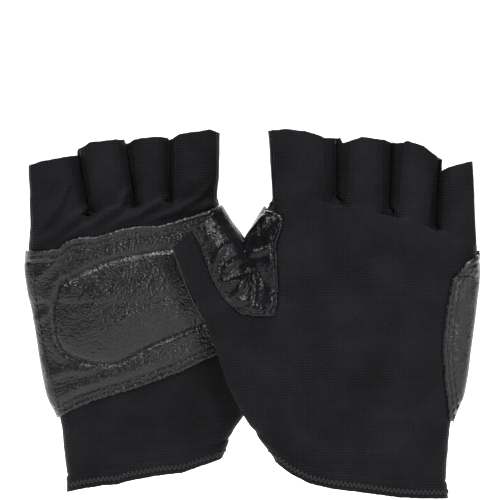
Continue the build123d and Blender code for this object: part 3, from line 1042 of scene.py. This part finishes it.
def close_fingers(glove, mesh):
    """Spread the far sides of the fingers until neighbours nearly touch, as the cloth of a worn glove does.

    Both sides of each gap lean the same way towards the back, so that no light shows between the fingers."""
    places = places_in(mesh)
    at, finger = x_and_z(places), finger_of(glove, places, BELOW_SLITS)
    order = FINGERS if glove.palm < 0 else FINGERS[::-1]
    edges = {name: finger_edges(glove, name, at, finger) for name in order}
    depth = places[:, 1] - glove.mid
    rear = smooth_step(depth, *FAR_SIDE)
    lean = -glove.palm * SKEW * smooth_step(depth, *LEAN)
    for i, name in enumerate(order):
        mine = finger == FINGERS.index(name)
        x, z = at[mine, 0], at[mine, 1]
        left, right = (np.interp(z, LEVELS, side) for side in edges[name])
        centre = (left + right) / 2
        shift = np.zeros(mine.sum())
        for side, edge, other in ((1, right, i + 1), (-1, left, i - 1)):
            if not 0 <= other < len(order):
                continue
            facing = np.interp(z, LEVELS, edges[order[other]][0 if side > 0 else 1])
            half_gap = np.maximum((facing - edge) * side / 2, SMALLEST_GAP)
            share = (x - centre) / (edge - centre)
            beyond = np.clip((x - edge) * side / half_gap, 0, 1)
            push = side * (half_gap - FINGER_AIR) + lean[mine]
            shift += push * smooth_step(share, *TOWARDS_GAP) * (1 - beyond)
        free = smooth_step(past_slit(glove, name, at[mine]), *FREE)
        places[mine, 0] += shift * rear[mine] * free
    move_to(mesh, places * MM)


# %% Make the fabric of each glove
HEM_TOP, HEM_STEP, HEM_GROOVE, HEM_GROOVE_WIDTH = 7.6, 0.5, 0.3, 0.8
SLACK = [(0.28, 11.0), (0.12, 4.0)]  # heights and sizes of the cloth's unevenness
PRESSED = 0.35
COVER = (-1.0, 2.5)


def fabric(glove, seed):
    """The whole fabric skin of a glove, with its folds, cut along its hems and seams."""
    mesh = forms[glove.prefix].data.copy()
    close_fingers(glove, mesh)
    places = places_in(mesh)
    bare = 1 - smooth_step(under_leather(glove, places), *COVER)
    heights = fold_heights(glove, places, FOLDS[glove.prefix]) * bare
    heights += sum(height * unevenness(places, size, seed + i) * bare
                   for i, (height, size) in enumerate(SLACK))
    heights += seam_heights(glove, places) * bare
    up = above_cuff(glove, places)
    step = HEM_STEP * (1 - smooth_step(up, HEM_TOP - 1, HEM_TOP))
    heights += step - HEM_GROOVE * ridge(up - HEM_TOP, HEM_GROOVE_WIDTH)
    heights -= PRESSED * (1 - bare)
    lift(mesh, heights)
    form = opened(mesh)
    remove(form, past_hems(glove, places_of(form), seed))
    cut_seams(form, glove)
    return finish_cut(form, mesh)


def make_fabric(glove, seed):
    """The finished pieces of one glove's fabric."""
    skin = thicken(fabric(glove, seed), CLOTH, [KNIT])
    labels = piece_names(glove, vectors(skin.polygons, "center") / MM, vectors(skin.polygons, "normal"))
    return take_pieces(skin, labels, glove.prefix, [KNIT])


sewn = {glove.prefix: make_fabric(glove, seed) for seed, glove in enumerate(GLOVES, start=3)}

# %% [markdown]
# ## The leather
# A leather patch is a part of the same skin, cut out along its outline and lifted off the fabric, so it
# lies on the hand exactly as the fabric does. Its cut edge slopes down over a millimetre and shows the raw
# inside, in a paler colour that is also a painted highlight along the edge. Rows of stitches pull it down a
# little along the edge. Under the palm patch lies a pad, so the leather swells there, and puckers where it is
# sewn down round the pad.

# %% The pad's crown
PAD_HEIGHT = 2.8
PAD_SLOPE = 15.0
ROUNDNESS = 0.55
PUCKERS, PUCKER_HEIGHT, PUCKER_WIDTH = 37, 0.22, 1.8
SEWN_DEPTH, SEWN_WIDTH = 1.0, 0.85


def pad_heights(glove, at):
    """The crown of the pad under the leather, with the puckers round its sewn outline."""
    depth = inside(at, glove.pad)
    _, share = near_line(at, closed(glove.pad))
    turn = share * 2 * pi
    crown = PAD_HEIGHT * np.clip(depth / PAD_SLOPE, 0, 1) ** ROUNDNESS
    rhythm = np.sin(turn * PUCKERS + 2.6 * np.sin(turn * 7)) * (0.6 + 0.4 * np.sin(turn * 3 + 1))
    band = ridge(depth - 1.8, PUCKER_WIDTH) + 0.8 * ridge(depth + 2.0, PUCKER_WIDTH)
    groove = -SEWN_DEPTH * ridge(depth, SEWN_WIDTH) + 0.3 * ridge(depth + 2.6, PUCKER_WIDTH)
    return crown + PUCKER_HEIGHT * rhythm * band + groove


# %% Leather sheets
LEATHER_LIFT, LEATHER_THICK, SHEET = 0.25, 1.25, 0.7
EDGE_WIDTH, EDGE_FOOT, EDGE_ROUND, EDGE_SLACK = 1.0, 0.12, 0.7, 0.15
ROWS, CROTCH_ROW = (2.7, 4.9), 2.0
ROW_DEPTH, ROW_WIDTH = 0.5, 0.6
THUMB_FOOT, THUMB_TIP = (4.5, 78.0), (21, 113.0)  # x from the crotch and z
THUMB_INSET, THUMB_ROUND = 2.4, (1.0, 6.0)
MID_BAND, PAST_ROWS, MERGE = 0.6, 3.8, 0.02
WRIST_SIDE = -30
CREASED, CREASE_SIZE = 0.22, 9.0


def round_the_thumb(glove, at):
    """1 on the outer side of the thumb and of its root, and 0 elsewhere."""
    foot, tip = (np.array([glove.crotch[0] - glove.palm * away, z]) for away, z in (THUMB_FOOT, THUMB_TIP))
    along = (tip - foot) / np.linalg.norm(tip - foot)
    outward = (at - foot) @ np.array([-along[1], along[0]]) * glove.palm
    return smooth_step(outward, *THUMB_ROUND)


def half_skin(glove, side, outline):
    """The palm half (+1) or back half (-1) of the hand's skin, cut to an outline."""
    form = opened(forms[glove.prefix].data)
    places = places_of(form)
    margin = THUMB_INSET * round_the_thumb(glove, x_and_z(places))
    remove(form, (glove.mid - places[:, 1]) * glove.palm * side + margin)
    remove(form, past_hems(glove, places_of(form), seed=1))
    remove(form, -inside(x_and_z(places_of(form)), outline))
    cut(form, inside(x_and_z(places_of(form)), outline) - EDGE_WIDTH)
    return form


def merged(halves, name):
    """One mesh from bmeshes whose edges meet."""
    whole = bmesh.new()
    for half in halves:
        scratch = write_back(half, bpy.data.meshes.new("scratch"))
        whole.from_mesh(scratch)
        bpy.data.meshes.remove(scratch)
    bmesh.ops.remove_doubles(whole, verts=whole.verts, dist=MERGE * MM)
    return write_back(whole, bpy.data.meshes.new(name))


def open_vertices(mesh):
    """Which vertices are on an open edge."""
    form = opened(mesh)
    found = np.array([v.is_boundary for v in form.verts])
    form.free()
    return found


def leather_edge(depth, rows):
    """The height of the leather's face near its edge: a sloped cut, then its sewn rows."""
    height = LEATHER_LIFT + LEATHER_THICK * np.clip(depth / EDGE_WIDTH, EDGE_FOOT, 1) ** EDGE_ROUND
    for row in rows:
        height -= ROW_DEPTH * ridge(depth - row, ROW_WIDTH)
    return height


def leather_depth(glove, mesh, outlines):
    """How far inside its outline each vertex of a patch is. The two halves join where the hand's side is."""
    places = places_in(mesh)
    at, height = x_and_z(places), places[:, 1] - glove.mid
    on_palm, on_back = (inside(at, outline) if outline else np.full(len(at), OFF) for outline in outlines)
    depth = np.where(height * glove.palm > 0, on_palm, on_back)
    free = open_vertices(mesh) & (past_thumb_line(glove, at) > WRIST_SIDE)
    joined = (np.abs(height) < MID_BAND) & ~free
    return np.where(joined, np.maximum(depth, PAST_ROWS), depth)


def make_leather(glove, name, outlines, folds, seed, face, padded=False):
    """A leather patch as finished pieces, split where the thumb starts to swing."""
    sides = [(side, outline) for side, outline in zip((1, -1), outlines) if outline]
    mesh = merged([half_skin(glove, side, outline) for side, outline in sides], name)
    places, depth = places_in(mesh), leather_depth(glove, mesh, outlines)
    heights = leather_edge(np.maximum(depth, 0), ROWS if padded else [CROTCH_ROW])
    heights += fold_heights(glove, places, folds) * smooth_step(depth, 0.5, 3.0)
    heights += CREASED * unevenness(places, CREASE_SIZE, seed) * smooth_step(depth, 0.5, 4.0)
    if padded:
        on_palm = places[:, 1] * glove.palm > glove.mid * glove.palm
        heights += pad_heights(glove, x_and_z(places)) * on_palm
    lift(mesh, heights)
    mesh.materials.append(face)
    mesh.materials.append(EDGE)
    # the band along the cut edge gets the edge material: raw fibres, paler, with the paleness also a painted
    # highlight
    deepest = np.array([max(depth[v] for v in polygon.vertices) for polygon in mesh.polygons])
    on_edge = deepest <= EDGE_WIDTH + EDGE_SLACK
    mesh.polygons.foreach_set("material_index", on_edge.astype(int))
    form = opened(mesh)
    cut(form, past_thumb_line(glove, x_and_z(places_of(form))))
    mesh = thicken(finish_cut(form, mesh), SHEET, [face, EDGE], rim=1)
    on_thumb = past_thumb_line(glove, x_and_z(vectors(mesh.polygons, "center") / MM)) > 0
    return take_pieces(mesh, np.where(on_thumb, f"{name}_thumb", name), glove.prefix, [face, EDGE])


# %% Cut the leather
LEATHER_FOLDS = {
    "a": [
        Fold(PALM, 0.9, 2.2, (-50, 88), (-44, 94), (-38, 99)),
        Fold(PALM, 0.7, 2.0, (-52, 70), (-46, 72), (-42, 76)),
        Fold(PALM, 0.8, 2.2, (-44, 44), (-34, 48), (-22, 47)),
        Fold(PALM, 0.8, 2.4, (-40, 36), (-24, 42), (-4, 48), (14, 56)),
        Fold(PALM, 0.6, 2.0, (-46, 54), (-43, 48), (-42, 40)),
    ],
    "b": [
        Fold(BACK, 1.3, 1.3, (49, 97), (49.5, 88), (48, 76)),
        Fold(BACK, 1.1, 1.2, (50.5, 97), (52.6, 88), (52, 78)),
        Fold(BACK, 1.3, 1.3, (49, 96), (45, 89), (42, 82)),
        Fold(BACK, 1.1, 1.3, (46, 100), (40.5, 97), (36, 93)),
        Fold(BACK, 1.0, 1.4, (44, 90), (38.5, 87), (35, 89)),
        Fold(BACK, 0.9, 1.2, (48.5, 101), (53, 101.5), (58, 104)),
        Fold(BACK, 0.9, 1.2, (52, 84), (56, 79), (60, 76)),
        Fold(BACK, 0.8, 1.4, (38, 106), (34, 101), (31, 94)),
    ],
}
leathers = {}
for seed, glove in enumerate(GLOVES, start=11):
    p, folds = glove.prefix, LEATHER_FOLDS[glove.prefix]
    wrap = (glove.leather, glove.crescent)
    leathers[p] = make_leather(glove, "palm_patch", wrap, folds, seed, LEATHER, padded=True)
    leathers[p] |= make_leather(glove, "crotch_patch", (None, glove.web), folds, seed + 5, SOFT_LEATHER)

# %% [markdown]
# ## The pad and the folded cuff
# The foam is a slab that fills the space under the leather's crown. It is the same skin again, cut to the
# pad's outline and pulled up into a solid. Inside the cuff the fabric is folded back on itself, which gives
# the hem its weight and shows when the glove is seen from below.

# %% Foam pad
PAD_MARGIN = 1.2
UNDER_LEATHER = 0.5
THINNEST = 0.3


def smooth_object(name, mesh):
    mesh.polygons.foreach_set("use_smooth", [True] * len(mesh.polygons))
    return put(name, mesh)


def make_pad(glove):
    """The foam: the palm's skin inside the sewn outline, pulled up to just under the leather."""
    form = opened(forms[glove.prefix].data)
    remove(form, (glove.mid - places_of(form)[:, 1]) * glove.palm)
    remove(form, PAD_MARGIN - inside(x_and_z(places_of(form)), glove.pad))
    grown = bmesh.ops.extrude_face_region(form, geom=form.faces[:])
    tops = [v for v in grown["geom"] if isinstance(v, bmesh.types.BMVert)]
    at = np.array([(v.co.x, v.co.z) for v in tops]) / MM
    crown = pad_heights(glove, at) - UNDER_LEATHER
    for vertex, height in zip(tops, np.maximum(crown, THINNEST)):
        vertex.co.y += glove.palm * height * MM
    bmesh.ops.recalc_face_normals(form, faces=form.faces)
    name = f"{glove.prefix}_pad_foam"
    mesh = write_back(form, bpy.data.meshes.new(name))
    mesh.materials.append(FOAM)
    pad = smooth_object(name, mesh)
    return pad


# %% Folded cuff
FOLD_DEPTH = 7.2
FOLD_FOOT = 0.4
FOLD_CLOTH = 0.8
FOLD_GAP = 0.15


def make_cuff_fold(glove):
    """The cloth that is turned up inside the cuff."""
    form = opened(forms[glove.prefix].data)
    remove(form, FOLD_FOOT - above_cuff(glove, places_of(form)))
    remove(form, above_cuff(glove, places_of(form)) - FOLD_DEPTH)
    name = f"{glove.prefix}_cuff_fold"
    mesh = write_back(form, bpy.data.meshes.new(name))
    lift(mesh, np.full(len(mesh.vertices), -(CLOTH + FOLD_GAP)))
    return smooth_object(name, thicken(mesh, FOLD_CLOTH, [KNIT]))


pads = {glove.prefix: make_pad(glove) for glove in GLOVES}
cuffs = {glove.prefix: make_cuff_fold(glove) for glove in GLOVES}
print("pads", [len(pad.data.polygons) for pad in pads.values()], "faces")

# %% [markdown]
# ## The stitches
# Every stitch is a short thick thread, pulled into the leather at both ends. One is modelled as a rounded
# rod of a few faces and copied along the sewing lines, each copy laid on the surface that a ray from
# outside meets. Turned alternately left and right, the same rod makes the zigzag of the cuff.

# %% One stitch and its copies
SIDES = 6
ROD = [(-0.5, 0.25), (-0.36, 0.8), (0.0, 1.0), (0.36, 0.8), (0.5, 0.25)]
THREAD_RADIUS = 0.36
ROD_ARCH = 0.7


def rod(place, along, out, length, radius):
    """The corners of one stitch, in metres."""
    side = along.cross(out).normalized()
    corners = []
    for share, width in ROD:
        arch = out * (radius * ROD_ARCH * (1 - (2 * share) ** 2))
        for k in range(SIDES):
            turn = 2 * pi * k / SIDES
            ring = (side * cos(turn) + out * sin(turn)) * radius * width
            corners.append(place + along * (length * share) + arch + ring)
    return corners


def rod_faces(first):
    """The faces of one stitch, whose corners start at number first."""
    faces = []
    for r in range(len(ROD) - 1):
        near, far = first + r * SIDES, first + (r + 1) * SIDES
        faces += [(near + k, near + (k + 1) % SIDES, far + (k + 1) % SIDES, far + k) for k in range(SIDES)]
    last = first + (len(ROD) - 1) * SIDES
    return faces + [tuple(range(first, first + SIDES))[::-1], tuple(range(last, last + SIDES))]


def inset(line, distance):
    """The same line moved sideways: to its left for a positive distance."""
    line = np.asarray(line, float)
    ways = np.diff(line, axis=0)
    ways /= np.linalg.norm(ways, axis=1)[:, None]
    ways = np.vstack([ways[:1], (ways[:-1] + ways[1:]), ways[-1:]])
    ways /= np.linalg.norm(ways, axis=1)[:, None]
    return line + distance * np.column_stack([-ways[:, 1], ways[:, 0]])


def steps_along(line, pitch):
    """Evenly spaced marks along a smooth line through the given points."""
    line = through(line)
    spans = np.r_[0, np.cumsum(np.linalg.norm(np.diff(line, axis=0), axis=1))]
    marks = np.arange(pitch / 2, spans[-1], pitch)
    return np.column_stack([np.interp(marks, spans, line[:, i]) for i in (0, 1)])


def surface_of(*pieces):
    """A tree for rays, of several pieces."""
    corners, faces = [], []
    for piece in pieces:
        first = len(corners)
        corners += [v.co.copy() for v in piece.data.vertices]
        faces += [[first + v for v in p.vertices] for p in piece.data.polygons]
    return BVHTree.FromPolygons(corners, faces)


REACH = 0.06


def lay(tree, glove, side, marks, length, angle=0.0):
    """Stitches at each mark, as (x-z mark, corners)."""
    out_way = Vector((0, side * glove.palm, 0))
    laid = []
    for i, (x, z) in enumerate(marks):
        ahead = marks[min(i + 1, len(marks) - 1)] - marks[max(i - 1, 0)]
        start = Vector((x, glove.mid, z)) * MM + out_way * REACH
        hit, normal, _, _ = tree.ray_cast(start, -out_way, REACH)
        if hit is None:
            continue
        normal = normal if normal.dot(out_way) > 0 else -normal
        along = Vector((ahead[0], 0, ahead[1])).normalized()
        along = (along - normal * along.dot(normal)).normalized()
        along.rotate(Matrix.Rotation(radians(angle if i % 2 else -angle), 3, normal))
        laid.append(((x, z), rod(hit, along, normal, length * MM, THREAD_RADIUS * MM)))
    return laid


def thread_piece(name, laid):
    """One piece of all the stitches that were laid."""
    corners, faces = [], []
    for _, rod_corners in laid:
        faces += rod_faces(len(corners))
        corners += rod_corners
    mesh = new_mesh(name, corners, faces)
    mesh.materials.append(THREAD)
    return smooth_object(name, mesh)


# %% Sew
STITCH, PITCH = 2.3, 3.0
ZIGZAG, ZIGZAG_PITCH, ZIGZAG_ANGLE = 2.4, 1.0, 68
ZIGZAG_ROW = 3.0


def sewing_of(glove):
    """All the thread of one glove, as finished pieces."""
    p = glove.prefix
    leather = surface_of(*leathers[p].values())
    cloth = surface_of(sewn[p]["palm_shell"], sewn[p]["back_shell"])

    def row_inside(line, distance):
        """Marks along a row inside an edge. The two gloves' outlines run opposite ways."""
        return steps_along(inset(line, glove.palm * distance), PITCH)

    edges = [(1, glove.palm_top[1:]), (1, glove.palm_bottom), (-1, glove.crescent_edge[1:])]
    palm_rows, cuff_rows = [], []
    for row in ROWS:
        for side, edge in edges:
            palm_rows += lay(leather, glove, side, row_inside(edge, row), STITCH)
    for line in (glove.strip, closed(glove.pad)):
        palm_rows += lay(leather, glove, 1, steps_along(line, PITCH), STITCH)
    web_rows = lay(leather, glove, -1, row_inside(glove.web_edge, CROTCH_ROW), STITCH)
    cuff_marks = steps_along([(x, z + ZIGZAG_ROW) for x, z in glove.cuff], ZIGZAG_PITCH)
    for side in (1, -1):
        cuff_rows += lay(cloth, glove, side, cuff_marks, ZIGZAG, ZIGZAG_ANGLE)
    swings = [past_thumb_line(glove, np.array([mark]))[0] > 0 for mark, _ in web_rows]
    rows = {
        "palm_stitches": palm_rows,
        "crotch_stitches": [laid for laid, moves in zip(web_rows, swings) if not moves],
        "crotch_stitches_thumb": [laid for laid, moves in zip(web_rows, swings) if moves],
        "cuff_stitches": cuff_rows,
    }
    print(p, "stitches:", {name: len(laid) for name, laid in rows.items()})
    return {name: thread_piece(f"{p}_{name}", laid) for name, laid in rows.items()}


threads = {glove.prefix: sewing_of(glove) for glove in GLOVES}

# %% [markdown]
# ## What moves with what
# The pieces of the hand ride on the hand's body. The finger stalls and the thumb bend away from the hand,
# but their pieces are only left in place in the frame of the model: they are tied to no body and do not
# blend.

# %% Ride and replace
STANDS_FOR = {
    "palm_shell": "palm_panel", "back_shell": "back_panel", "palm_patch": "palm_leather",
    "crotch_patch": "web_leather", "palm_patch_thumb": "thumb_leather",
    "crotch_patch_thumb": "thumb_leather", "thumb_stall_back": "thumb_back",
    "thumb_stall_palm": "thumb_palm", "pad_foam": "palm_pad", "cuff_fold": "cuff_hem",
    "palm_stitches": "palm_stitching", "crotch_stitches": "web_stitching",
    "crotch_stitches_thumb": "web_stitching", "cuff_stitches": "cuff_stitching",
}
for name in FINGERS:
    STANDS_FOR |= {f"{name}_stall_{side}": f"{name}_{side}" for side in ("back", "palm")}
    STANDS_FOR[f"{name}_gusset"] = f"{name}_gussets"


def set_moving(glove, name, piece):
    """Tie a piece of the hand to the hand's body. A piece of a finger or the thumb only gets its place baked
    into its mesh.
    """
    p = glove.prefix
    hand = f"{p}_hand"
    part = name.split("_")[0]
    if part in FINGERS:
        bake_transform(piece)
    elif part == "thumb" or name.endswith("_thumb"):
        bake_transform(piece)
    else:
        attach(piece, hand)


def slot_of(name):
    """The material slot of a piece, by what it is made of."""
    if "stitches" in name:
        return "thread"
    if "patch" in name:
        return "leather"
    return "pad_foam" if name == "pad_foam" else "stretch_fabric"


for glove in GLOVES:
    p = glove.prefix
    pieces = sewn[p] | leathers[p] | threads[p] | {"pad_foam": pads[p], "cuff_fold": cuffs[p]}
    bpy.data.objects.remove(forms[p])
    for name, piece in pieces.items():
        set_moving(glove, name, piece)
        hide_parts(f"{p}_{STANDS_FOR[name]}")
        slot = slot_of(name)
    print(p, len(pieces), "pieces")

# %% The end
bpy.context.view_layer.update()
